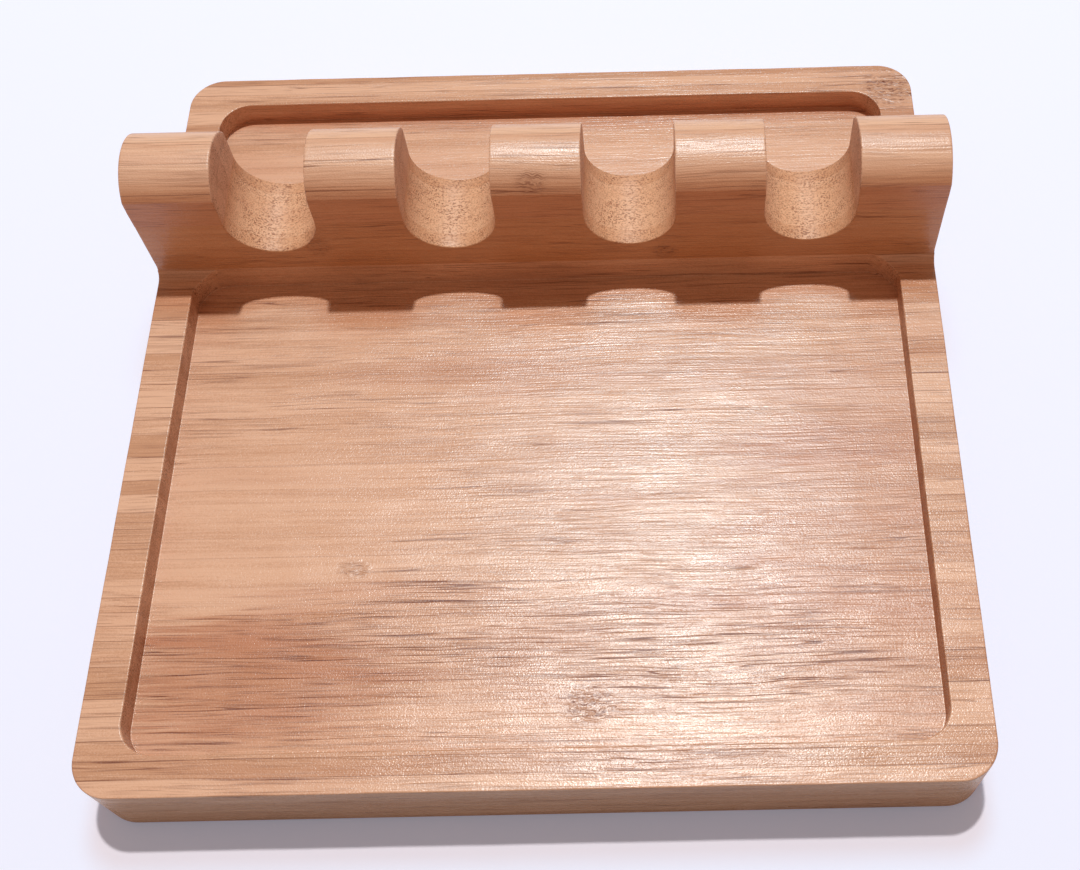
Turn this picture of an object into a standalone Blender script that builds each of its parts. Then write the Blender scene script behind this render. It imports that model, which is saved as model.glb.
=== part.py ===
"""Utensil rest: a routed bamboo board with a rounded, four-groove rail across it.

Metres, +Z up. The origin is under the middle of the board, on the surface that it stands on.
X runs left to right along the rail and along the grain, -Y is the front, where spoon bowls lie.
"""

import math

import bmesh
import bpy

# Board
BOARD_WIDTH = 0.200
BOARD_DEPTH = 0.2015
RIM_HEIGHT = 0.0215
CORNER_RADIUS = 0.0090
FOOT_EASE = 0.0006

# Recesses routed into the board, one in front of the rail and one behind it
RIM_WIDTH = 0.0093
RECESS_DEPTH = 0.0064
RECESS_CORNER_RADIUS = 0.0080

# Rail: a lower block glued to the board, and a crest layer glued on top of it
RAIL_BACK_SETBACK = 0.0437
RAIL_THICKNESS = 0.0217
LAND_RISE = 0.0015
LAYER_THICKNESS = 0.0182
CREST_HEIGHT = 0.0156
CREST_RADIUS = 0.0123
FOOT_RADIUS = 0.0030

# Grooves that the handles lie in
GROOVE_COUNT = 4
GROOVE_RADIUS = 0.0113

# Hidden fluted dowels, one under each land of the rail
DOWEL_DIAMETER = 0.0080
DOWEL_LENGTH = 0.0400
DOWEL_FLOOR = 0.0080
DOWEL_CHAMFER = 0.0010
FLUTE_COUNT = 16
FLUTE_DEPTH = 0.00025

# Clearance round a dowel, and how far a cutter runs past what it cuts
FIT_GAP = 0.0003
OVERRUN = 0.0020

# Segments in a quarter turn
CORNER_SEGMENTS = 12
FOOT_SEGMENTS = 8
CREST_SEGMENTS = 14
GROOVE_SEGMENTS = 16
HOLE_SEGMENTS = 8

# Edges that turn more than this are shaded crisp
CRISP_ANGLE = math.radians(20)

# Places that follow from the sizes
half_width = BOARD_WIDTH / 2
half_depth = BOARD_DEPTH / 2
rail_back = half_depth - RAIL_BACK_SETBACK
rail_front = rail_back - RAIL_THICKNESS
rail_middle = (rail_front + rail_back) / 2
land_height = RIM_HEIGHT + LAND_RISE
glue_height = land_height + LAYER_THICKNESS
top_height = glue_height + CREST_HEIGHT
recess_floor = RIM_HEIGHT - RECESS_DEPTH
land_width = (BOARD_WIDTH - GROOVE_COUNT * 2 * GROOVE_RADIUS) / (GROOVE_COUNT + 1)
groove_pitch = land_width + 2 * GROOVE_RADIUS

QUARTER = math.pi / 2


def clear_scene():
    """Remove whatever the file opens with."""
    for thing in list(bpy.data.objects):
        bpy.data.objects.remove(thing, do_unlink=True)


def make_material(name, colour, roughness):
    """One plain wood finish."""
    material = bpy.data.materials.new(name)
    material.use_nodes = True
    shader = material.node_tree.nodes["Principled BSDF"]
    shader.inputs["Base Color"].default_value = (*colour, 1.0)
    shader.inputs["Roughness"].default_value = roughness
    shader.inputs["Metallic"].default_value = 0.0
    material.diffuse_color = (*colour, 1.0)
    return material


def board_material():
    """Warm tan bamboo of the board."""
    return make_material("bamboo_board", (0.58, 0.33, 0.19), 0.48)


def rail_material():
    """The rail's lower block, a shade browner."""
    return make_material("bamboo_rail", (0.54, 0.30, 0.17), 0.50)


def crest_material():
    """The rail's pale rounded crest."""
    return make_material("bamboo_crest", (0.62, 0.36, 0.21), 0.46)


def dowel_material():
    """Pale beech."""
    return make_material("beech_dowel", (0.66, 0.47, 0.29), 0.65)


def arc(centre, radius, start, end, steps):
    """Points on an arc from angle start to angle end, both ends included."""
    points = []
    for step in range(steps + 1):
        angle = start + (end - start) * step / steps
        points.append((centre[0] + radius * math.cos(angle), centre[1] + radius * math.sin(angle)))
    return points


def rounded_rectangle(low, high, radius):
    """Outline of a rectangle with round corners, counter-clockwise."""
    near_x, near_y = low[0] + radius, low[1] + radius
    far_x, far_y = high[0] - radius, high[1] - radius
    outline = arc((near_x, near_y), radius, -2 * QUARTER, -QUARTER, CORNER_SEGMENTS)
    outline += arc((far_x, near_y), radius, -QUARTER, 0, CORNER_SEGMENTS)
    outline += arc((far_x, far_y), radius, 0, QUARTER, CORNER_SEGMENTS)
    outline += arc((near_x, far_y), radius, QUARTER, 2 * QUARTER, CORNER_SEGMENTS)
    return outline


def link_mesh(name, mesh_data, material=None):
    """Turn a bmesh into an object with its faces pointing outward."""
    bmesh.ops.recalc_face_normals(mesh_data, faces=mesh_data.faces)
    mesh = bpy.data.meshes.new(name)
    mesh_data.to_mesh(mesh)
    mesh_data.free()
    thing = bpy.data.objects.new(name, mesh)
    bpy.context.scene.collection.objects.link(thing)
    if material is not None:
        mesh.materials.append(material)
    return thing


def prism(name, outline, place, start, end, material=None):
    """Closed prism: the outline's points put in space by place(u, v, w), with w from start to end."""
    mesh_data = bmesh.new()
    near = [mesh_data.verts.new(place(u, v, start)) for u, v in outline]
    far = [mesh_data.verts.new(place(u, v, end)) for u, v in outline]
    mesh_data.faces.new(near)
    mesh_data.faces.new(far)
    count = len(outline)
    for index in range(count):
        following = (index + 1) % count
        mesh_data.faces.new((near[index], near[following], far[following], far[index]))
    return link_mesh(name, mesh_data, material)


def along_x(u, v, w):
    """A front-to-back profile swept from left to right."""
    return (w, u, v)


def along_y(u, v, w):
    """A left-to-right profile swept from front to back."""
    return (u, w, v)


def along_z(u, v, w):
    """A plan swept upward."""
    return (u, v, w)


def as_cutter(thing):
    """A shape that only cuts others."""
    thing.hide_render = True
    thing.display_type = "WIRE"
    return thing


def combine(thing, cutter, operation):
    """Cut a piece with a cutter, or keep what they share."""
    modifier = thing.modifiers.new(operation.lower() + "_" + cutter.name, "BOOLEAN")
    modifier.operation = operation
    modifier.solver = "EXACT"
    modifier.object = cutter


def shade_round(thing):
    """Smooth shading on the curved faces, sharp at the crisp edges."""
    thing.data.shade_smooth()
    thing.data.set_sharp_from_angle(angle=CRISP_ANGLE)


def foot_split_angle():
    """Where the foot's hollow passes the glue line on top of the board's land."""
    return math.asin(min(1, LAND_RISE / FOOT_RADIUS) - 1)


def front_foot(start, end):
    """Part of the hollow at the rail's front foot, from the rim up to the rail's face."""
    centre = (rail_front - FOOT_RADIUS, RIM_HEIGHT + FOOT_RADIUS)
    return arc(centre, FOOT_RADIUS, start, end, FOOT_SEGMENTS)


def back_foot(start, end):
    """The same hollow mirrored to the rail's back."""
    return [(2 * rail_middle - y, z) for y, z in front_foot(start, end)]


def board_profile():
    """Front-to-back section of the board, with the raised land that carries the rail."""
    split = foot_split_angle()
    front = front_foot(-QUARTER, split)
    back = back_foot(-QUARTER, split)
    outline = [(-half_depth, 0), (half_depth, 0), (half_depth, RIM_HEIGHT)]
    outline += back
    outline += reversed(front)
    outline.append((-half_depth, RIM_HEIGHT))
    return outline


def lower_block_profile():
    """Section of the rail's lower block, flared at its foot."""
    split = foot_split_angle()
    outline = front_foot(split, 0)
    outline += [(rail_front, glue_height), (rail_back, glue_height)]
    outline += reversed(back_foot(split, 0))
    return outline


def crest_profile():
    """Section of the crest: straight cheeks up to a faint crease, then a wide arc over the top."""
    half_thickness = RAIL_THICKNESS / 2
    radius = max(CREST_RADIUS, half_thickness)
    centre = (rail_middle, top_height - radius)
    spring = math.acos(half_thickness / radius)
    outline = [(rail_back, glue_height)]
    outline += arc(centre, radius, spring, 2 * QUARTER - spring, 2 * CREST_SEGMENTS)
    outline.append((rail_front, glue_height))
    return outline


def recess_cutter(name, front, back):
    """One routed recess, whose cutter also trims the hollow at the rail's foot."""
    low = (-half_width + RIM_WIDTH, front)
    high = (half_width - RIM_WIDTH, back)
    outline = rounded_rectangle(low, high, RECESS_CORNER_RADIUS)
    top = RIM_HEIGHT + FOOT_RADIUS + OVERRUN
    return as_cutter(prism(name, outline, along_z, recess_floor, top))


def groove_centre(index):
    """Middle of a groove, left to right."""
    return (index - (GROOVE_COUNT - 1) / 2) * groove_pitch


def land_centre(index):
    """Middle of a land between grooves, left to right."""
    return (index - GROOVE_COUNT / 2) * groove_pitch


def groove_cutter(index):
    """One round-bottomed groove through the rail from front to back."""
    centre = groove_centre(index)
    outline = arc((centre, glue_height), GROOVE_RADIUS, -2 * QUARTER, 0, 2 * GROOVE_SEGMENTS)
    outline.append((centre + GROOVE_RADIUS, glue_height + OVERRUN))
    outline.append((centre - GROOVE_RADIUS, glue_height + OVERRUN))
    front = rail_front - FOOT_RADIUS - OVERRUN
    back = rail_back + FOOT_RADIUS + OVERRUN
    return as_cutter(prism("groove_cutter_%d" % (index + 1), outline, along_y, front, back))


def dowel_hole_cutter(index):
    """Hole for one dowel, with the clearance all round it."""
    radius = DOWEL_DIAMETER / 2 + FIT_GAP
    outline = arc((land_centre(index), rail_middle), radius, 0, 4 * QUARTER, 4 * HOLE_SEGMENTS)[:-1]
    low = DOWEL_FLOOR - FIT_GAP
    high = DOWEL_FLOOR + DOWEL_LENGTH + FIT_GAP
    return as_cutter(prism("dowel_hole_cutter_%d" % (index + 1), outline, along_z, low, high))


def corner_cutter():
    """Column with the board's round corners and its eased lower edge."""
    mesh_data = bmesh.new()
    rings = []
    top = top_height + OVERRUN
    for height, inset in ((0, FOOT_EASE), (FOOT_EASE, 0), (top, 0)):
        low = (-half_width + inset, -half_depth + inset)
        high = (half_width - inset, half_depth - inset)
        outline = rounded_rectangle(low, high, CORNER_RADIUS - inset)
        rings.append([mesh_data.verts.new((x, y, height)) for x, y in outline])
    mesh_data.faces.new(rings[0])
    mesh_data.faces.new(rings[-1])
    count = len(rings[0])
    for below, above in zip(rings, rings[1:]):
        for index in range(count):
            following = (index + 1) % count
            mesh_data.faces.new((below[index], below[following], above[following], above[index]))
    return as_cutter(link_mesh("corner_cutter", mesh_data))


def make_board(corners, recesses, holes):
    """The board: shaped on top, rounded at its corners, routed and drilled."""
    board = prism("base_board", board_profile(), along_x, -half_width, half_width, board_material())
    combine(board, corners, "INTERSECT")
    for cutter in recesses + holes:
        combine(board, cutter, "DIFFERENCE")
    shade_round(board)


def make_lower_block(recesses, grooves, holes):
    """The rail's lower block, with the groove bottoms cut in its top."""
    block = prism("rail_lower_block", lower_block_profile(), along_x, -half_width, half_width, rail_material())
    for cutter in recesses + grooves + holes:
        combine(block, cutter, "DIFFERENCE")
    shade_round(block)


def make_crest_block(index, hole, material):
    """One crest block: what the grooves leave of the rail's upper layer on a land."""
    start = land_centre(index) - land_width / 2
    end = land_centre(index) + land_width / 2
    block = prism("rail_crest_%d" % (index + 1), crest_profile(), along_x, start, end, material)
    combine(block, hole, "DIFFERENCE")
    shade_round(block)


def make_dowel(index, material):
    """One fluted dowel with chamfered ends."""
    mesh_data = bmesh.new()
    rings = []
    top = DOWEL_FLOOR + DOWEL_LENGTH
    radius = DOWEL_DIAMETER / 2
    heights = (DOWEL_FLOOR, DOWEL_FLOOR + DOWEL_CHAMFER, top - DOWEL_CHAMFER, top)
    for height, inset in zip(heights, (DOWEL_CHAMFER, 0, 0, DOWEL_CHAMFER)):
        ring = []
        for step in range(2 * FLUTE_COUNT):
            angle = math.pi * step / FLUTE_COUNT
            reach = radius - inset - FLUTE_DEPTH * (step % 2)
            x = land_centre(index) + reach * math.cos(angle)
            y = rail_middle + reach * math.sin(angle)
            ring.append(mesh_data.verts.new((x, y, height)))
        rings.append(ring)
    mesh_data.faces.new(rings[0])
    mesh_data.faces.new(rings[-1])
    for below, above in zip(rings, rings[1:]):
        for step in range(2 * FLUTE_COUNT):
            following = (step + 1) % (2 * FLUTE_COUNT)
            mesh_data.faces.new((below[step], below[following], above[following], above[step]))
    link_mesh("dowel_%d" % (index + 1), mesh_data, material)


def main():
    """Build every piece of the utensil rest."""
    clear_scene()
    recesses = [
        recess_cutter("front_recess_cutter", -half_depth + RIM_WIDTH, rail_front),
        recess_cutter("back_recess_cutter", rail_back, half_depth - RIM_WIDTH),
    ]
    grooves = [groove_cutter(index) for index in range(GROOVE_COUNT)]
    holes = [dowel_hole_cutter(index) for index in range(GROOVE_COUNT + 1)]
    make_board(corner_cutter(), recesses, holes)
    make_lower_block(recesses, grooves, holes)
    crest_finish = crest_material()
    dowel_finish = dowel_material()
    for index, hole in enumerate(holes):
        make_crest_block(index, hole, crest_finish)
        make_dowel(index, dowel_finish)


main()
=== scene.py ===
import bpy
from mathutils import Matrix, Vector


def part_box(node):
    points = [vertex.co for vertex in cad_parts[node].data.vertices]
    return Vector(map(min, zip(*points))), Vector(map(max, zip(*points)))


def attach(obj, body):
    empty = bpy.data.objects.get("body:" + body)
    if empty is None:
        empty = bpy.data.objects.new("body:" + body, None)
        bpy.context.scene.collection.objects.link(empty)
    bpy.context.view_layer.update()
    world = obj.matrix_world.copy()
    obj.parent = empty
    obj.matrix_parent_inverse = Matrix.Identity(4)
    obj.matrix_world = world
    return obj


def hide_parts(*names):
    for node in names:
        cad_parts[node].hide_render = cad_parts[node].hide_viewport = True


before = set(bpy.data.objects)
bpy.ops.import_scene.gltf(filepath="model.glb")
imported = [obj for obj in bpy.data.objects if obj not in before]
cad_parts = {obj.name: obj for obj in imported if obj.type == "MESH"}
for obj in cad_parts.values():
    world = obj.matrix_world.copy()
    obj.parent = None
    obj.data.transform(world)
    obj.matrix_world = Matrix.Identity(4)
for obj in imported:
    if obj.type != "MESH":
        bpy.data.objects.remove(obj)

"""Looks of the utensil rest: routed bamboo board, grooved bamboo rail, oiled satin finish.

Metres, +Z up, in the frame's own place. The board and the rail are grids of points worked out with numpy,
and the dowels keep their plain solids. A place on the rest is written (x, out, z): out is the distance
from the rail's middle plane, so that the front and the back half come from the same functions.
"""

import math

import bmesh
import bpy
import numpy as np
from mathutils import Matrix

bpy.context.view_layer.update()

# Lands of the rail beside its grooves, each with one crest block and one dowel
LANDS = 5

# Sizes read from the frame
_, board_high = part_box("base_board")
block_low, block_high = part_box("rail_lower_block")
crest_boxes = [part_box("rail_crest_%d" % number) for number in range(1, LANDS + 1)]
half_width = board_high.x
half_depth = board_high.y
land_height = block_low.z
glue_height = block_high.z
top_height = crest_boxes[0][1].z
rail_half = (crest_boxes[0][1].y - crest_boxes[0][0].y) / 2
rail_middle = (crest_boxes[0][1].y + crest_boxes[0][0].y) / 2
groove_radius = (crest_boxes[1][0].x - crest_boxes[0][1].x) / 2
groove_centres = [(near[1].x + far[0].x) / 2 for near, far in zip(crest_boxes, crest_boxes[1:])]

# Sizes that the boxes don't give
RIM_HEIGHT = 0.0215
RIM_WIDTH = 0.0093
CORNER_RADIUS = 0.0090
RECESS_DEPTH = 0.0064
RECESS_CORNER = 0.0080
FOOT_RADIUS = 0.0030
CREST_RADIUS = 0.0123

# Sanded edges, the cutter's round at the recess floor, and how far a holding row lies from an edge
BOARD_EASE = 0.00032
RECESS_EASE = 0.00032
GROOVE_EASE = 0.00034
END_EASE = 0.00045
UNDER_EASE = 0.0006
COVE = 0.00015
HOLD = 0.00006

# How far out from its middle the recess floor's holding row lies, as a share of the floor
FLOOR_HOLD = 0.998

# Hand sanding: the share by which an edge's radius swells in a long and in a short wave, the waves'
# radians per metre, where the short wave starts, and by how many metres the outer edge is out of step
LONG_SWELL = 0.2
LONG_WAVE = 173
SHORT_SWELL = 0.14
SHORT_WAVE = 419
SHORT_START = 1.7
OUTER_START = 0.3

# Points nearer than this are welded, edges that turn more than this stay sharp, and the least divisor
WELD = 0.000002
SHARP_TURN = math.radians(50)
TINY = 1e-9

# Steps in the grids
EASE_STEPS = 3
CORNER_STEPS = 36
SIDE_STEPS = 48
BACK_STEPS = 64
ACROSS_STEPS = 10
FLOOR_STEPS = 26
RIM_STEPS = 7
GROOVE_STEPS = 40
FACE_STEPS = 5
HEIGHT_STEPS = 14
HOLLOW_STEPS = 8
WALL_STEPS = 3
CHEEK_STEPS = 5
ARC_STEPS = 24
CREST_STEPS = 8

# Woods: tones (pale, middle, dark, red) and the painted shade of upright faces as screen colours of 0 to
# 255, then in millimetres the strips' width and shift, and the marks and places on the wood as (centre,
# reach)
# Painted face shade: upright faces are multiplied darker, standing in for the dimmer light that they get;
# on the board only its front face, which faces away from the lamps, takes it
BOARD_WOOD = {
    "seed": 3.7,
    "tones": ((227, 178, 147), (201, 148, 115), (118, 58, 30), (188, 121, 88)),
    "strip": 4.9,
    "strip_shift": -1.1,
    "painted_face_shade": (212, 232, 240),
    "painted_shade_to": -98.0,
    "knuckles": [((11, -80, 15), (8, 6, 5)), ((-44, -46, 15), (5, 3, 5)), ((94, 92, 21), (9, 9, 9))],
    "calm": [((-66, -36, 15), (48, 30, 5)), ((0, 70, 15), (150, 17, 5))],
    "streaky": [((-34, -62, 15), (50, 14, 5)), ((-62, -72, 15), (34, 18, 5)),
                ((30, -68, 15), (46, 16, 5))],
    # The last ruddy place darkens and reddens the rear recess's far wall and the floor just before it
    "ruddy": [((-70, -72, 15), (36, 18, 5)), ((78, -40, 15), (40, 50, 5)), ((10, 92, 15), (150, 8, 5))],
}
BLOCK_WOOD = {
    "seed": 8.2,
    "tones": ((230, 178, 140), (217, 161, 122), (130, 70, 38), (198, 134, 98)),
    "strip": 5.2,
    "strip_shift": 2.9,
    "painted_face_shade": (234, 222, 208),
    "cut": 1.0,
    "knuckles": [((-56.6, 36, 32), (4, 5, 6)), ((30.8, 36, 26), (4, 5, 5))],
    "calm": [((-98, 38, 38), (30, 20, 9))],
}
CREST_WOOD = {
    "seed": 5.1,
    "tones": ((232, 184, 152), (217, 164, 132), (126, 68, 40), (208, 150, 118)),
    "strip": 5.4,
    "strip_shift": 0.7,
    "painted_face_shade": (228, 204, 180),
    "matt": 0.08,
    "sheen": 0.6,
    "knuckles": [((-1, 37, 54), (5, 3, 5))],
}
DOWEL_PALE = (214, 184, 150)
DOWEL_FLECK = (168, 128, 92)

# Light of the surroundings, as a share of full light: red, green, blue
WORLD_FILL = (0.34, 0.21, 0.14)

# Backdrop: its colour, its share in what gloss sees, and the distances in millimetres between which the
# tabletop turns into it
BACKDROP = (0.9, 0.89, 0.96, 1.0)
GLOSS_SHARE = 0.15
FAR_FROM = 350.0
FAR_TO = 900.0

# Tabletop: half its width and its drop under the rest in metres, its looks, and the lift the camera sees
TABLE_HALF = 6.0
TABLE_DROP = 0.0001
TABLE_COLOUR = (0.85, 0.81, 0.91, 1.0)
TABLE_ROUGHNESS = 0.85
TABLE_GLOSS = 0.2
LIFT_COLOUR = (0.3, 0.66, 1.0, 1.0)
LIFT = 0.18

# Lamps: elevation and azimuth in degrees, distance and size in metres, level, tint
KEY_LAMP = (75, 5, 3.0, 0.11, 0.6, (0.97, 0.95, 0.9))
SOFT_LAMP = (67, 5, 1.3, 0.32, 0.27, (0.3, 0.75, 1.0))

# Camera: sensor and lens in millimetres, shift as a share of the sensor, angles in degrees, then its
# place and the nearest distance that it sees, in metres
SENSOR_WIDTH = 36
LENS = 47.44
LENS_SHIFT = -0.1060
AIM_BELOW = 61.48
CAMERA_TURN = -0.78
CAMERA_ROLL = -1.95
CAMERA_PLACE = (0.02945, -0.17926, 0.32305)
NEAREST_SEEN = 0.01

recess_floor = RIM_HEIGHT - RECESS_DEPTH
recess_half = half_width - RIM_WIDTH
foot_top = RIM_HEIGHT + FOOT_RADIUS
foot_reach = rail_half + FOOT_RADIUS
foot_split = foot_reach - math.sqrt(FOOT_RADIUS**2 - (foot_top - land_height) ** 2)
fractions = np.linspace(1, -1, ACROSS_STEPS + 1)
quarter = np.linspace(0, math.pi / 2, EASE_STEPS + 1)


# Surfaces

def points(x, out, z):
    """Three arrays or numbers as one array of places, the last axis being (x, out, z)."""
    return np.stack(np.broadcast_arrays(x, out, z), axis=-1).astype(float)


def facing(grid, side):
    """Places (x, out, z) in the frame: side -1 lies in front of the rail's middle, side 1 behind it."""
    return np.stack([grid[..., 0], rail_middle + side * grid[..., 1], grid[..., 2]], axis=-1)


def across(path):
    """Flat strip from a path before the rail's middle to its mirror image behind: out times 1 to -1."""
    return points(path[:, None, 0], path[:, None, 1] * fractions, path[:, None, 2])


def surface(name, grids):
    """One closed mesh: neighbours in a grid make quads, shared edges are welded, flat holes are filled."""
    corners, faces, start = [], [], 0
    for grid in grids:
        index = start + np.arange(grid.shape[0] * grid.shape[1]).reshape(grid.shape[:2])
        quads = np.stack([index[:-1, :-1], index[:-1, 1:], index[1:, 1:], index[1:, :-1]], axis=-1)
        corners.append(grid.reshape(-1, 3))
        faces.append(quads.reshape(-1, 4))
        start += index.size
    mesh = bpy.data.meshes.new(name)
    mesh.from_pydata(np.concatenate(corners), [], np.concatenate(faces).tolist())
    shell = bmesh.new()
    shell.from_mesh(mesh)
    bmesh.ops.remove_doubles(shell, verts=shell.verts, dist=WELD)
    rims = [edge for edge in shell.edges if edge.is_boundary]
    if rims:
        bmesh.ops.holes_fill(shell, edges=rims, sides=0)
    bmesh.ops.recalc_face_normals(shell, faces=shell.faces)
    shell.to_mesh(mesh)
    shell.free()
    mesh.shade_smooth()
    mesh.set_sharp_from_angle(angle=SHARP_TURN)
    piece = bpy.data.objects.new(name, mesh)
    bpy.context.scene.collection.objects.link(piece)
    return piece


def hand_sanded(ease, along):
    """An edge's radius as sanded by hand: it swells and shrinks along the edge as the sum of two waves."""
    long_wave = LONG_SWELL * np.sin(along * LONG_WAVE)
    short_wave = SHORT_SWELL * np.sin(along * SHORT_WAVE + SHORT_START)
    return ease * (1 + long_wave + short_wave)


# Board

def rim_top(out):
    """Height of the board's top: the flat rim, then the hollow that climbs to the land under the rail."""
    climb = np.clip(foot_reach - out, 0, foot_reach - foot_split)
    return RIM_HEIGHT + FOOT_RADIUS - np.sqrt(FOOT_RADIUS**2 - climb**2)


def outer_hit(turn, far, board_far):
    """Where rays from the recess's far corner centre meet the board's outline, with its normals there.

    The outline is a side line, a round corner and the far line, and each ray takes the one it meets.
    """
    start = np.array([-(recess_half - RECESS_CORNER), far - RECESS_CORNER])
    ray = np.stack([-np.cos(turn), np.sin(turn)], axis=-1)
    centre = np.array([-(half_width - CORNER_RADIUS), board_far - CORNER_RADIUS])
    to_side = (half_width + start[0]) / np.maximum(np.cos(turn), TINY)
    to_far = (board_far - start[1]) / np.maximum(np.sin(turn), TINY)
    lean = ray @ (start - centre)
    gap = np.sum((start - centre) ** 2) - CORNER_RADIUS**2
    to_round = -lean + np.sqrt(lean**2 - gap)
    on_side = start[1] + to_side * ray[:, 1] <= centre[1]
    on_far = start[0] + to_far * ray[:, 0] >= centre[0]
    reach = np.where(on_side, to_side, np.where(on_far, to_far, to_round))
    hit = start + reach[:, None] * ray
    normal = (hit - centre) / CORNER_RADIUS
    normal = np.where(on_side[:, None], [-1, 0], np.where(on_far[:, None], [0, 1], normal))
    return hit, normal


def recess_path(board_far):
    """A recess's outline and normals, then each point's partner on the board's outline with its normal.

    It runs from the rail round the far end and back to the rail. The partner lies straight to the side, or
    along the corner's ray, or straight out. The right half mirrors the left half.
    """
    far = board_far - RIM_WIDTH
    bend = recess_half - RECESS_CORNER
    near_turn = np.linspace(math.pi / 2, 0, CORNER_STEPS + 1)
    far_turn = np.linspace(0, math.pi / 2, CORNER_STEPS + 1)
    side = np.linspace(rail_half + RECESS_CORNER, far - RECESS_CORNER, SIDE_STEPS + 1)[1:-1]
    end = np.linspace(-bend, 0, BACK_STEPS // 2 + 1)[1:]
    flat = np.zeros_like
    edge = np.concatenate([
        np.stack([-bend - RECESS_CORNER * np.cos(near_turn),
                  rail_half + RECESS_CORNER * (1 - np.sin(near_turn))], axis=-1),
        np.stack([flat(side) - recess_half, side], axis=-1),
        np.stack([-bend - RECESS_CORNER * np.cos(far_turn),
                  far - RECESS_CORNER * (1 - np.sin(far_turn))], axis=-1),
        np.stack([end, flat(end) + far], axis=-1),
    ])
    edge_normal = np.concatenate([
        np.stack([-np.cos(near_turn), -np.sin(near_turn)], axis=-1),
        np.stack([flat(side) - 1, flat(side)], axis=-1),
        np.stack([-np.cos(far_turn), np.sin(far_turn)], axis=-1),
        np.stack([flat(end), flat(end) + 1], axis=-1),
    ])
    beside = len(near_turn) + len(side)
    corner_hit, corner_normal = outer_hit(far_turn, far, board_far)
    partner = np.concatenate([
        np.stack([np.full(beside, -half_width), edge[:beside, 1]], axis=-1),
        corner_hit,
        np.stack([end, flat(end) + board_far], axis=-1),
    ])
    partner_normal = np.concatenate([
        np.tile([-1.0, 0.0], (beside, 1)), corner_normal, np.tile([0.0, 1.0], (len(end), 1))
    ])
    mirror = np.array([-1.0, 1.0])
    return [np.concatenate([half, (half * mirror)[-2::-1]]) for half in
            (edge, edge_normal, partner, partner_normal)]


def wall_rows(edge, normal, low, high, ease):
    """Rows up a recess wall: the cove at the floor, then the wall to where the sanded edge starts."""
    rows = [points(*(edge - normal * COVE * (1 - math.sin(turn))).T, low + COVE * (1 - math.cos(turn)))
            for turn in quarter]
    rows.append(points(*edge.T, low + COVE + HOLD))
    rows.append(points(*edge.T, high - ease - HOLD * (ease > 0)))
    return rows


def side_rows(partner, normal, top, ease):
    """Rows over the board's outer edge, down its side, and round its eased lower edge to the underside."""
    rows = [points(*(partner - normal * (ease * (1 - math.sin(turn)))[:, None]).T,
                   top - ease * (1 - math.cos(turn))) for turn in quarter]
    rows.append(points(*partner.T, top - ease - HOLD))
    rows.append(points(*partner.T, UNDER_EASE + HOLD))
    rows += [points(*(partner - normal * UNDER_EASE * (1 - math.cos(turn))).T,
                    UNDER_EASE * (1 - math.sin(turn))) for turn in quarter]
    return rows


def rim_surface(edge, edge_normal, partner, partner_normal):
    """The rim round a recess: wall, sanded edge, flat or hollow top, outer edge and side, in one grid."""
    shows = edge[:, 1] > foot_split
    along = edge.sum(axis=1)
    inner = hand_sanded(RECESS_EASE, along) * shows
    outer = hand_sanded(BOARD_EASE, along + OUTER_START) * (partner[:, 1] > foot_split)
    rows = wall_rows(edge, edge_normal, recess_floor, rim_top(edge[:, 1]), inner)
    for turn in quarter:
        place = edge + edge_normal * (inner * (1 - math.cos(turn)))[:, None]
        rows.append(points(*place.T, rim_top(place[:, 1]) - inner * (1 - math.sin(turn))))
    start = edge + edge_normal * (inner + HOLD * shows)[:, None]
    stop = partner - partner_normal * (outer + HOLD)[:, None]
    for share in np.linspace(0, 1, RIM_STEPS + 1):
        place = start + (stop - start) * share
        rows.append(points(*place.T, rim_top(place[:, 1])))
    return np.stack(rows + side_rows(partner, partner_normal, rim_top(partner[:, 1]), outer))


def recess_surfaces(board_far):
    """A recess: its rim, the wall under the rail's face, its floor, and the x places along that wall."""
    path = recess_path(board_far)
    edge, edge_normal = path[0], path[1]
    rail_x = np.linspace(edge[-1, 0], edge[0, 0], BACK_STEPS + 1)
    rail_edge = points(rail_x, rail_half, 0)[:, :2]
    rail_normal = np.tile([0.0, -1.0], (len(rail_x), 1))
    back_wall = np.stack(wall_rows(rail_edge, rail_normal, recess_floor, land_height, 0 * rail_x))
    outline = np.concatenate([edge - edge_normal * COVE, (rail_edge - rail_normal * COVE)[1:]])
    middle = np.array([0, (rail_half + board_far - RIM_WIDTH) / 2])
    inward = np.insert(np.linspace(1, 0, FLOOR_STEPS + 1), 1, FLOOR_HOLD)[:, None, None]
    floor_places = middle + (outline - middle) * inward
    floor = points(floor_places[..., 0], floor_places[..., 1], recess_floor)
    return [rim_surface(*path), back_wall, floor], rail_x


def make_board():
    """The board: two recesses with their rims, and the land under the rail between them."""
    front, rail_x = recess_surfaces(rail_middle + half_depth)
    back, _ = recess_surfaces(half_depth - rail_middle)
    grids = [facing(grid, -1) for grid in front] + [facing(grid, 1) for grid in back]
    rim_row = front[0][:, 0, :]
    on_land = rim_row[rim_row[:, 2] > land_height - HOLD / 2]
    rail_edge = points(rail_x, rail_half, land_height)
    for half in (on_land, on_land * [-1, 1, 1], rail_edge):
        grids.append(facing(across(half), -1))
    land_side = points(-half_width, rail_half * fractions, 0)[:, :2]
    for sign in (1, -1):
        rows = side_rows(land_side * [sign, 1], np.tile([-sign, 0], (len(land_side), 1)),
                         np.full(len(land_side), land_height), np.zeros(len(land_side)))
        grids.append(facing(np.stack(rows), -1))
    return surface("board", grids)


# Rail

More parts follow.
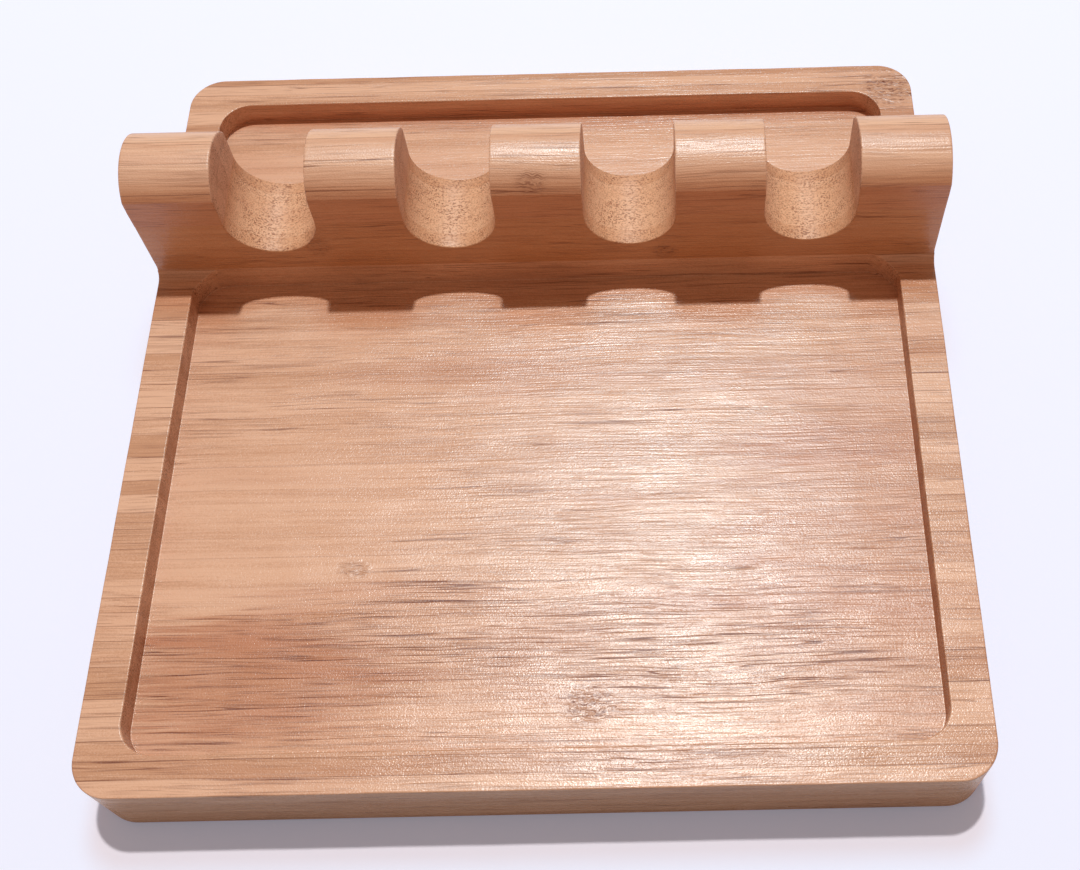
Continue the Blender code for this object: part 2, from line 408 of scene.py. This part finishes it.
def foot_rows(x):
    """The rail's foot below its face: hollow from the face down to the recess's wall, then that wall.

    Where the recess passes in front of the rail, its outline cuts the hollow away.
    """
    inside = np.clip(np.abs(x) - (recess_half - RECESS_CORNER), 0, RECESS_CORNER)
    recess = rail_half + RECESS_CORNER - np.sqrt(RECESS_CORNER**2 - inside**2)
    recess = np.minimum(recess, foot_split)
    meet = foot_top - np.sqrt(np.maximum(FOOT_RADIUS**2 - (foot_reach - recess) ** 2, 0))
    rows = []
    for share in np.linspace(0, 1, HOLLOW_STEPS + 1):
        z = foot_top + (meet - foot_top) * share
        rows.append(points(x, foot_reach - np.sqrt(FOOT_RADIUS**2 - (foot_top - z) ** 2), z))
    for share in np.linspace(0, 1, WALL_STEPS + 1)[1:]:
        rows.append(points(x, recess, meet + (land_height - meet) * share))
    return np.stack(rows)


def groove_surfaces(centre, left, right):
    """One groove and the faces round it, from the front face over the groove to the back face.

    Rays run from the edge of this stretch of rail towards the groove's centre: along a ray come the flat
    face, the sanded edge, and then the groove's round bottom, straight across to the back. The front grid
    of the foot below is among the grids, and is also given on its own.
    """
    heights = np.linspace(glue_height, foot_top, HEIGHT_STEPS + 1)
    bottom = np.linspace(left, right, GROOVE_STEPS + 1)
    bend = recess_half - RECESS_CORNER
    corner = bend + RECESS_CORNER * np.sin(np.linspace(0, math.pi / 2, ARC_STEPS + 1))
    extra = np.concatenate([-corner, corner])
    bottom = np.unique(np.concatenate([bottom, extra[(extra > left) & (extra < right)]]))
    border = np.concatenate([
        np.stack([np.full(len(heights) - 1, left), heights[:-1]], axis=-1),
        np.stack([bottom, np.full(len(bottom), foot_top)], axis=-1),
        np.stack([np.full(len(heights) - 1, right), heights[-2::-1]], axis=-1),
    ])
    middle = np.array([centre, glue_height])
    ray = border - middle
    ray /= np.linalg.norm(ray, axis=1)[:, None]
    ease = hand_sanded(GROOVE_EASE, ray[:, 0] * groove_radius + centre)
    rows = []
    lip = middle + ray * (groove_radius + ease + HOLD)[:, None]
    for share in np.linspace(0, 1, FACE_STEPS + 1):
        place = border + (lip - border) * share
        rows.append(points(place[:, 0], rail_half, place[:, 1]))
    for turn in quarter:
        place = middle + ray * (groove_radius + ease * (1 - math.sin(turn)))[:, None]
        rows.append(points(place[:, 0], rail_half - ease * (1 - math.cos(turn)), place[:, 1]))
    front = np.stack(rows)
    groove = across(front[-1])
    back = front[::-1] * [1, -1, 1]
    sheet = np.concatenate([front, groove.transpose(1, 0, 2), back])
    grids = [sheet, across(front[:, 0]), across(front[:, -1])]
    foot = foot_rows(bottom)
    grids += [foot, foot * [1, -1, 1], across(foot[-1])]
    return grids, foot


def end_surfaces(x_end, profile, normal):
    """Rail end: the sanded edge along the profile, then the flat end grain across from front to back."""
    sign = math.copysign(1, x_end)
    rows = []
    for turn in quarter:
        place = profile - normal * END_EASE * (1 - math.cos(turn))
        z = np.maximum(place[:, 1], land_height)
        rows.append(points(x_end - sign * END_EASE * (1 - math.sin(turn)), place[:, 0], z))
    edge = np.stack(rows)
    caps = [across(edge[-1]), across(edge[:, 0]), across(edge[:, -1])]
    return [edge, edge * [1, -1, 1]] + caps


def make_lower_block():
    """The rail's lower block: four grooves in its top, a hollow foot left on the side rims, flat ends."""
    middles = [(a + b) / 2 for a, b in zip(groove_centres, groove_centres[1:])]
    borders = [-half_width + END_EASE] + middles + [half_width - END_EASE]
    grids = []
    for number, centre in enumerate(groove_centres):
        stretch, foot = groove_surfaces(centre, borders[number], borders[number + 1])
        grids += stretch
    heights = np.linspace(foot_top, glue_height, HEIGHT_STEPS + 1)[1:]
    foot_end = foot[:, -1, 1:][::-1]
    profile = np.concatenate([foot_end, np.stack([np.full(len(heights), rail_half), heights], axis=-1)])
    hollow = (np.array([foot_reach, foot_top]) - foot_end) / FOOT_RADIUS
    normal = np.concatenate([hollow, np.tile([1.0, 0.0], (len(heights), 1))])
    for x_end in (-half_width, half_width):
        grids += end_surfaces(x_end, profile, normal)
    return surface("rail_block", [facing(grid, -1) for grid in grids])


def crest_profile():
    """Front half of the crest's section with its normals: a straight cheek, then the arc to the top."""
    centre = top_height - CREST_RADIUS
    spring = math.acos(rail_half / CREST_RADIUS)
    crease = centre + CREST_RADIUS * math.sin(spring)
    cheek = np.append(np.linspace(glue_height, crease - HOLD, CHEEK_STEPS + 1), crease)
    turn = np.linspace(spring, math.pi / 2, ARC_STEPS + 1)
    turn = np.insert(turn, 1, spring + HOLD / CREST_RADIUS)
    profile = np.concatenate([
        np.stack([np.full(len(cheek), rail_half), cheek], axis=-1),
        np.stack([CREST_RADIUS * np.cos(turn[1:]), centre + CREST_RADIUS * np.sin(turn[1:])], axis=-1),
    ])
    normal = np.concatenate([
        np.tile([1.0, 0.0], (len(cheek), 1)), np.stack([np.cos(turn[1:]), np.sin(turn[1:])], axis=-1)
    ])
    return profile, normal


def make_crest(number):
    """One crest block: the section carried along x, with sanded edges all round both of its ends."""
    low, high = crest_boxes[number]
    profile, normal = crest_profile()
    ease = hand_sanded(GROOVE_EASE, profile[:, 1] * 2 + low.x)
    inset = GROOVE_EASE * 2
    rows = []
    for x_end, sign, turns in ((low.x, 1, quarter[::-1]), (high.x, -1, quarter)):
        for turn in turns:
            place = profile - normal * (ease * (1 - math.cos(turn)))[:, None]
            place[:, 1] = np.maximum(place[:, 1], glue_height)
            rows.append(points(x_end + sign * ease * (1 - math.sin(turn)), place[:, 0], place[:, 1]))
        if sign > 0:
            for share in np.linspace(0, 1, CREST_STEPS + 1):
                x = low.x + inset + (high.x - low.x - inset * 2) * share
                rows.append(points(x, profile[:, 0], profile[:, 1]))
    body = np.stack(rows)
    grids = [body, body * [1, -1, 1], across(body[:, 0]), across(body[0]), across(body[-1])]
    return surface("crest_%d" % (number + 1), [facing(grid, -1) for grid in grids])


# Shader maths

class Value:
    """A socket that carries a number, with the arithmetic that Math nodes give."""

    def __init__(self, shader, socket):
        self.shader = shader
        self.socket = socket

    def maths(self, operation, *others, clamp=False):
        """Add a Math node on this value and the others."""
        node = self.shader.node("ShaderNodeMath", {"operation": operation, "use_clamp": clamp},
                                dict(enumerate((self,) + others)))
        return Value(self.shader, node.outputs[0])

    def __add__(self, other):
        return self.maths("ADD", other)

    def __sub__(self, other):
        return self.maths("SUBTRACT", other)

    def __rsub__(self, other):
        return (self * -1) + other

    def __mul__(self, other):
        return self.maths("MULTIPLY", other)

    def __truediv__(self, other):
        return self.maths("DIVIDE", other)

    __radd__ = __add__
    __rmul__ = __mul__

    def size(self):
        return self.maths("ABSOLUTE")

    def floor(self):
        return self.maths("FLOOR")

    def fraction(self):
        return self.maths("FRACT")

    def held(self):
        """The value kept between 0 and 1."""
        return self.maths("ADD", 0.0, clamp=True)

    def step(self, low, high):
        """A smooth step: 0 at low, 1 at high."""
        node = self.shader.node("ShaderNodeMapRange", {"interpolation_type": "SMOOTHSTEP"},
                                {"Value": self, "From Min": low, "From Max": high})
        return Value(self.shader, node.outputs["Result"])


class Shader:
    """A material's node tree, with one method that adds any node."""

    def __init__(self, name):
        self.material = bpy.data.materials.new(name)
        self.material.use_nodes = True
        self.tree = self.material.node_tree
        self.surface = self.tree.nodes["Principled BSDF"]

    def node(self, kind, settings=None, inputs=None):
        """Add a node: settings first, then each input as a plain value or a link."""
        node = self.tree.nodes.new(kind)
        for name, setting in (settings or {}).items():
            setattr(node, name, setting)
        for name, value in (inputs or {}).items():
            self.feed(node.inputs[name], value)
        return node

    def feed(self, socket, value):
        """Give a socket a value or a link."""
        if isinstance(value, Value):
            self.tree.links.new(value.socket, socket)
        elif isinstance(value, bpy.types.NodeSocket):
            self.tree.links.new(value, socket)
        else:
            socket.default_value = value

    def place(self):
        """The place on the object in millimetres, as three values."""
        coordinate = self.node("ShaderNodeTexCoord").outputs["Object"]
        scaled = self.node("ShaderNodeVectorMath", {"operation": "SCALE"}, {0: coordinate, "Scale": 1000.0})
        parts = self.node("ShaderNodeSeparateXYZ", inputs={0: scaled.outputs[0]})
        return [Value(self, parts.outputs[axis]) for axis in range(3)]

    def facing(self):
        """The surface's own direction before any bump, as three values."""
        normal = self.node("ShaderNodeNewGeometry").outputs["True Normal"]
        parts = self.node("ShaderNodeSeparateXYZ", inputs={0: normal})
        return [Value(self, parts.outputs[axis]) for axis in range(3)]

    def vector(self, x, y, z):
        """Three values as one vector."""
        return self.node("ShaderNodeCombineXYZ", inputs={0: x, 1: y, 2: z}).outputs[0]

    def noise(self, vector, detail=2.0, roughness=0.5):
        """Noise from 0 to 1, one swell for each unit of the vector."""
        inputs = {"Vector": vector, "Scale": 1.0, "Detail": detail, "Roughness": roughness}
        return Value(self, self.node("ShaderNodeTexNoise", inputs=inputs).outputs["Fac"])

    def lot(self, number):
        """A number from 0 to 1 drawn for each whole number."""
        node = self.node("ShaderNodeTexWhiteNoise", {"noise_dimensions": "1D"}, {"W": number})
        return Value(self, node.outputs["Value"])

    def mix(self, factor, first, second, blend="MIX"):
        """Two colours blended: the factor says how much of the second, or of the blend that is named."""
        node = self.node("ShaderNodeMix", {"data_type": "RGBA", "blend_type": blend},
                         {0: factor, 6: first, 7: second})
        return node.outputs[2]

    def bump(self, height):
        """Normals from a height in millimetres."""
        inputs = {"Height": height, "Strength": 1.0, "Distance": 0.001}
        return self.node("ShaderNodeBump", inputs=inputs).outputs["Normal"]


def colour(red, green, blue):
    """A screen colour of 0 to 255 as the linear colour that a shader takes."""
    shares = np.array([red, green, blue]) / 255
    linear = np.where(shares <= 0.04045, shares / 12.92, ((shares + 0.055) / 1.055) ** 2.4)
    return (*linear.tolist(), 1.0)


# Bamboo

def region(place, centre, reach, soft=0.7):
    """1 inside an ellipsoid at centre, fading to 0 at its reach. All in millimetres."""
    away = [(axis - middle) / length for axis, middle, length in zip(place, centre, reach)]
    return (1.0 - (away[0] * away[0] + away[1] * away[1] + away[2] * away[2])).step(0.0, soft)


def total(shares):
    """The sum of some values, or nothing where there are none."""
    result = 0.0
    for share in shares:
        result = share + result
    return result


def bamboo(name, seed, tones, strip, strip_shift, painted_face_shade, painted_shade_to=1000.0, cut=0.0, matt=0.0,
           sheen=0.45, knuckles=(), calm=(), streaky=(), ruddy=()):
    """Side-pressed bamboo, solid all through: fibres run along x, strips stand side by side along y.

    Knuckles are the marks left by the cane's nodes. Calm, streaky and ruddy are places on the wood, each a
    centre and a reach, with few lines, with many lines, and with a redder tone. Upright faces along the
    fibres, as far back as the given y, are multiplied by a painted shade, for the dimmer light they get.
    Cut is how torn the milling left the surfaces that don't face front or back, while end grain is always
    torn. Matt is added to the roughness, and sheen is the strength of the oil's gloss.
    """
    shader = Shader(name)

    def layer(place, along, across_it, seeded, detail=1.0, roughness=0.5):
        """Noise drawn out along x: swells per millimetre along and across x. One axis takes the seed."""
        parts = [place[0] * along, place[1] * across_it, place[2] * across_it]
        parts[seeded] = parts[seeded] + seed
        return shader.noise(shader.vector(*parts), detail, roughness)

    solid = shader.place()
    x, y, z = solid
    ahead, aside, _ = [part.size() for part in shader.facing()]
    end = ahead.step(0.4, 0.9)
    face = aside.step(0.5, 0.95)
    torn = ((1.0 - face) * cut + end).held()
    # Painted shade: mask of the upright faces along the fibres, up to the given y, that are darkened below
    painted_shade_mask = face * (1.0 - y.step(painted_shade_to, painted_shade_to + 1.0))
    high = z.step(17.0, 20.0)

    # Fibres wander a little, and swirl at a knuckle
    drift = layer(solid, 0.02, 0.05, 0) - 0.5
    ripple = layer(solid, 0.07, 0.22, 1, 2.0) - 0.5
    knot = total(region(solid, centre, reach, 1.0) for centre, reach in knuckles)
    swirl = layer(solid, 0.35, 0.6, 2) - 0.5
    wander = drift * 3.0 + ripple * 0.5 + swirl * knot * 3.0
    fibre_y = y + wander
    fibre = (x, fibre_y, z + wander * 0.7)

    # Strips of uneven width, each with its own tone, and the glue lines between them
    uneven = shader.noise(shader.vector(seed, y * 0.07, 0.0), 1.0) - 0.5
    count = (y + strip_shift + uneven * 9.0 + drift * 0.4) / strip
    own = shader.lot(count.floor() + seed)
    across_strip = count.fraction()
    seam_gap = (0.5 - (across_strip - 0.5).size()) * strip
    seam_shows = shader.noise(shader.vector(x * 0.012, count.floor() * 3.1, seed), 1.0).step(0.4, 0.6)
    seam = (1.0 - seam_gap.step(0.03, 0.2)) * (0.15 + seam_shows * 0.85) * (0.35 + high * 0.65)

    # Long bands, lines where a slow noise crosses its middle, veins, hairs and pale fibres
    band = layer(fibre, 0.006, 0.42, 1, 3.0, 0.6)
    level = layer(fibre, 0.013, 0.85, 0) - 0.5
    shows = layer(fibre, 0.03, 1.3, 1).step(0.44, 0.6)
    line = (1.0 - level.size().step(0.005, 0.036)) * shows
    vein = layer(fibre, 0.035, 1.7, 0, 2.0, 0.65).step(0.54, 0.7)
    hair = layer(fibre, 0.09, 3.0, 2).step(0.52, 0.7)
    blond = layer(fibre, 0.06, 2.2, 1).step(0.5, 0.72)

    # Torn fibre ends, stronger in patches, and the fine unevenness of the sanded surface
    patch = layer(solid, 0.2, 0.25, 2).step(0.35, 0.65)
    speck = shader.noise(shader.vector(x * 1.7, y * 2.4 + seed, z * 4.0), 2.0).step(0.48, 0.62)
    speck = speck * (0.5 + patch * 0.5)
    dust = layer(solid, 2.7, 3.3, 2) - 0.5

    # Where the lines gather, where they stay away, and where the wood is redder, with frayed borders
    cloud = layer((x, fibre_y, z), 0.014, 0.08, 0, 2.0)
    fray = layer(fibre, 0.012, 1.1, 1, 2.0) - 0.5
    figure = layer(fibre, 0.022, 0.25, 2, 2.0).step(0.35, 0.7)
    place = (x + cloud * 30.0 - 15.0 + fray * 80.0, fibre_y, z)
    still = total(region(place, centre, reach) for centre, reach in calm)
    busy = total(region(place, centre, reach, 0.35) for centre, reach in streaky)
    rosy = total(region(place, centre, reach) for centre, reach in ruddy)
    gain = (0.32 + figure * 0.4 + busy * 0.6 - still * 0.6).maths("MAXIMUM", 0.12).held()

    # Colour: tone from middle to pale, redder clouds, dark grain, darker knuckles and end grain, then the
    # painted shade of upright faces
    pale, middle, dark, red = [colour(*tone) for tone in tones]
    tone = (0.5 + (band - 0.5) * 2.0 + (own - 0.5) * (0.4 + high * 1.0) + dust * 1.2 - busy * 0.2
            + still * 0.35 + blond * (0.25 + gain * 0.45)).held()
    wood = shader.mix(tone, middle, pale)
    wood = shader.mix((cloud.step(0.45, 0.75) * 0.3 + rosy * 0.38 + busy * 0.15).held(), wood, red)
    lines = (line * 0.85 + vein * 0.45 + hair * 0.45) * gain + seam * 0.7
    grain = (lines * (1.0 - torn * 0.75) + torn * (speck * 0.66 + hair * 0.2)
             + knot * (vein + hair) * 0.4).held()
    wood = shader.mix(grain, wood, dark)
    wood = shader.mix((knot * 0.4 + end * 0.15).held(), wood, shader.mix(0.5, wood, dark))
    # Painted shade: upright faces multiplied by a darker colour, for the dimmer light that they get
    wood = shader.mix(painted_shade_mask, wood, colour(*painted_face_shade), "MULTIPLY")
    shader.feed(shader.surface.inputs["Base Color"], wood)

    # Oiled sheen, duller in patches, on the grain and where the fibres are torn
    shader.surface.inputs["Specular IOR Level"].default_value = sheen
    polish = layer(solid, 0.06, 0.12, 0, 2.0)
    roughness = 0.17 + matt + polish * 0.17 + grain * 0.15 + torn * 0.2
    shader.feed(shader.surface.inputs["Roughness"], roughness.held())

    # Relief: slow sag, ridges along the fibres, dust, sunken lines, seams and specks, uneven knuckles
    ridge = layer(fibre, 0.06, 2.1, 2)
    sag = layer(solid, 0.05, 0.09, 2)
    height = (sag * 0.3 + (ridge * 0.08 + hair * 0.012) * (1.0 - torn * 0.6) + dust * 0.05
              - (line + vein * 0.6) * gain * 0.03 - seam * 0.02 - speck * torn * 0.03 + swirl * knot * 0.3)
    shader.feed(shader.surface.inputs["Normal"], shader.bump(height))
    return shader.material


def beech():
    """Pale dowel beech with short dark flecks along the dowel."""
    shader = Shader("dowel_beech")
    x, y, z = shader.place()
    fleck = shader.noise(shader.vector(x * 2.4, y * 2.4, z * 0.3), 2.0).step(0.58, 0.7)
    wood = shader.mix(fleck * 0.5, colour(*DOWEL_PALE), colour(*DOWEL_FLECK))
    shader.feed(shader.surface.inputs["Base Color"], wood)
    shader.feed(shader.surface.inputs["Roughness"], 0.62 + fleck * 0.1)
    shader.feed(shader.surface.inputs["Normal"], shader.bump(fleck * -0.03))
    return shader.material


# Stage

def make_floor():
    """Plain pale tabletop, a flat sheet far larger than the view.

    The camera sees it a little lifted, so that its shadow stays light, and far off it sees the backdrop
    in its place.
    """
    corner = np.array([-TABLE_HALF, TABLE_HALF])
    grid = points(*np.meshgrid(corner, corner), -TABLE_DROP)
    mesh = bpy.data.meshes.new("tabletop")
    mesh.from_pydata(grid.reshape(-1, 3), [], [(0, 1, 3, 2)])
    floor = bpy.data.objects.new("tabletop", mesh)
    bpy.context.scene.collection.objects.link(floor)
    shader = Shader("tabletop_white")
    seen = Value(shader, shader.node("ShaderNodeLightPath").outputs["Is Camera Ray"])
    shader.surface.inputs["Base Color"].default_value = TABLE_COLOUR
    shader.surface.inputs["Roughness"].default_value = TABLE_ROUGHNESS
    shader.surface.inputs["Specular IOR Level"].default_value = TABLE_GLOSS
    shader.surface.inputs["Emission Color"].default_value = LIFT_COLOUR
    shader.feed(shader.surface.inputs["Emission Strength"], seen * LIFT)
    x, y, _ = shader.place()
    far = (x * x + y * y).step(FAR_FROM**2, FAR_TO**2)
    backdrop = shader.node("ShaderNodeEmission", inputs={"Color": BACKDROP, "Strength": 1.0})
    sheet = shader.node("ShaderNodeMixShader", inputs={0: seen * far, 1: shader.surface.outputs[0],
                                                       2: backdrop.outputs[0]})
    shader.tree.links.new(sheet.outputs[0], shader.tree.nodes["Material Output"].inputs["Surface"])
    mesh.materials.append(shader.material)


def make_world():
    """Faint warm light from all round. The camera sees a pale backdrop, and gloss sees a share of it."""
    world = bpy.data.worlds.new("studio")
    bpy.context.scene.world = world
    world.use_nodes = True
    tree = world.node_tree
    path = tree.nodes.new("ShaderNodeLightPath")
    tint = tree.nodes.new("ShaderNodeMix")
    tint.data_type = "RGBA"
    tint.inputs[6].default_value = (*WORLD_FILL, 1.0)
    tint.inputs[7].default_value = BACKDROP
    gloss = tree.nodes.new("ShaderNodeMath")
    gloss.operation = "MULTIPLY_ADD"
    gloss.inputs[1].default_value = GLOSS_SHARE
    tree.links.new(path.outputs["Is Glossy Ray"], gloss.inputs[0])
    seen = tree.nodes.new("ShaderNodeMath")
    seen.operation = "MAXIMUM"
    tree.links.new(path.outputs["Is Camera Ray"], seen.inputs[0])
    tree.links.new(path.outputs["Is Transmission Ray"], seen.inputs[1])
    tree.links.new(seen.outputs[0], gloss.inputs[2])
    tree.links.new(gloss.outputs[0], tint.inputs[0])
    tree.links.new(tint.outputs[2], tree.nodes["Background"].inputs["Color"])


def make_lamp(name, elevation, azimuth, distance, size, level, tint):
    """Area lamp aimed at the rest. Level 1 alone lights a level white sheet as white."""
    rise = math.radians(elevation)
    lamp = bpy.data.lights.new(name, "AREA")
    lamp.shape = "DISK"
    lamp.size = size
    lamp.color = tint
    lamp.energy = level * math.pi**2 * distance**2 / math.sin(rise)
    thing = bpy.data.objects.new(name, lamp)
    bpy.context.scene.collection.objects.link(thing)
    turn = Matrix.Rotation(-math.radians(azimuth), 4, "Z") @ Matrix.Rotation(rise - math.pi / 2, 4, "X")
    thing.matrix_world = turn @ Matrix.Translation((0, 0, distance))


def make_camera():
    """Camera at the photograph's place: rolled, aimed below the horizon, then turned."""
    camera = bpy.data.cameras.new("view")
    camera.sensor_width = SENSOR_WIDTH
    camera.lens = LENS
    camera.shift_x = LENS_SHIFT
    camera.clip_start = NEAREST_SEEN
    thing = bpy.data.objects.new("view", camera)
    bpy.context.scene.collection.objects.link(thing)
    aim, turn, roll = [math.radians(angle) for angle in (AIM_BELOW, CAMERA_TURN, CAMERA_ROLL)]
    pose = Matrix.Rotation(-turn, 4, "Z") @ Matrix.Rotation(math.pi / 2 - aim, 4, "X")
    pose = pose @ Matrix.Rotation(roll, 4, "Z")
    thing.matrix_world = Matrix.Translation(CAMERA_PLACE) @ pose
    bpy.context.scene.camera = thing


# Assembly

def dress(piece, node, material):
    """Give a piece its finish and tie it to the frame in place of its plain node."""
    piece.data.materials.clear()
    piece.data.materials.append(material)
    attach(piece, "root")
    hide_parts(node)


def main():
    """Dress every piece, then set the stage round it."""
    dress(make_board(), "base_board", bamboo("board_bamboo", **BOARD_WOOD))
    dress(make_lower_block(), "rail_lower_block", bamboo("block_bamboo", **BLOCK_WOOD))
    crest_wood = bamboo("crest_bamboo", **CREST_WOOD)
    for number in range(LANDS):
        dress(make_crest(number), "rail_crest_%d" % (number + 1), crest_wood)
    dowel_wood = beech()
    for number in range(1, LANDS + 1):
        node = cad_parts["dowel_%d" % number]
        node.data.materials.clear()
        node.data.materials.append(dowel_wood)
    make_floor()
    make_world()
    make_lamp("key_lamp", *KEY_LAMP)
    make_lamp("soft_lamp", *SOFT_LAMP)
    make_camera()
    bpy.context.scene.view_settings.view_transform = "Standard"


main()
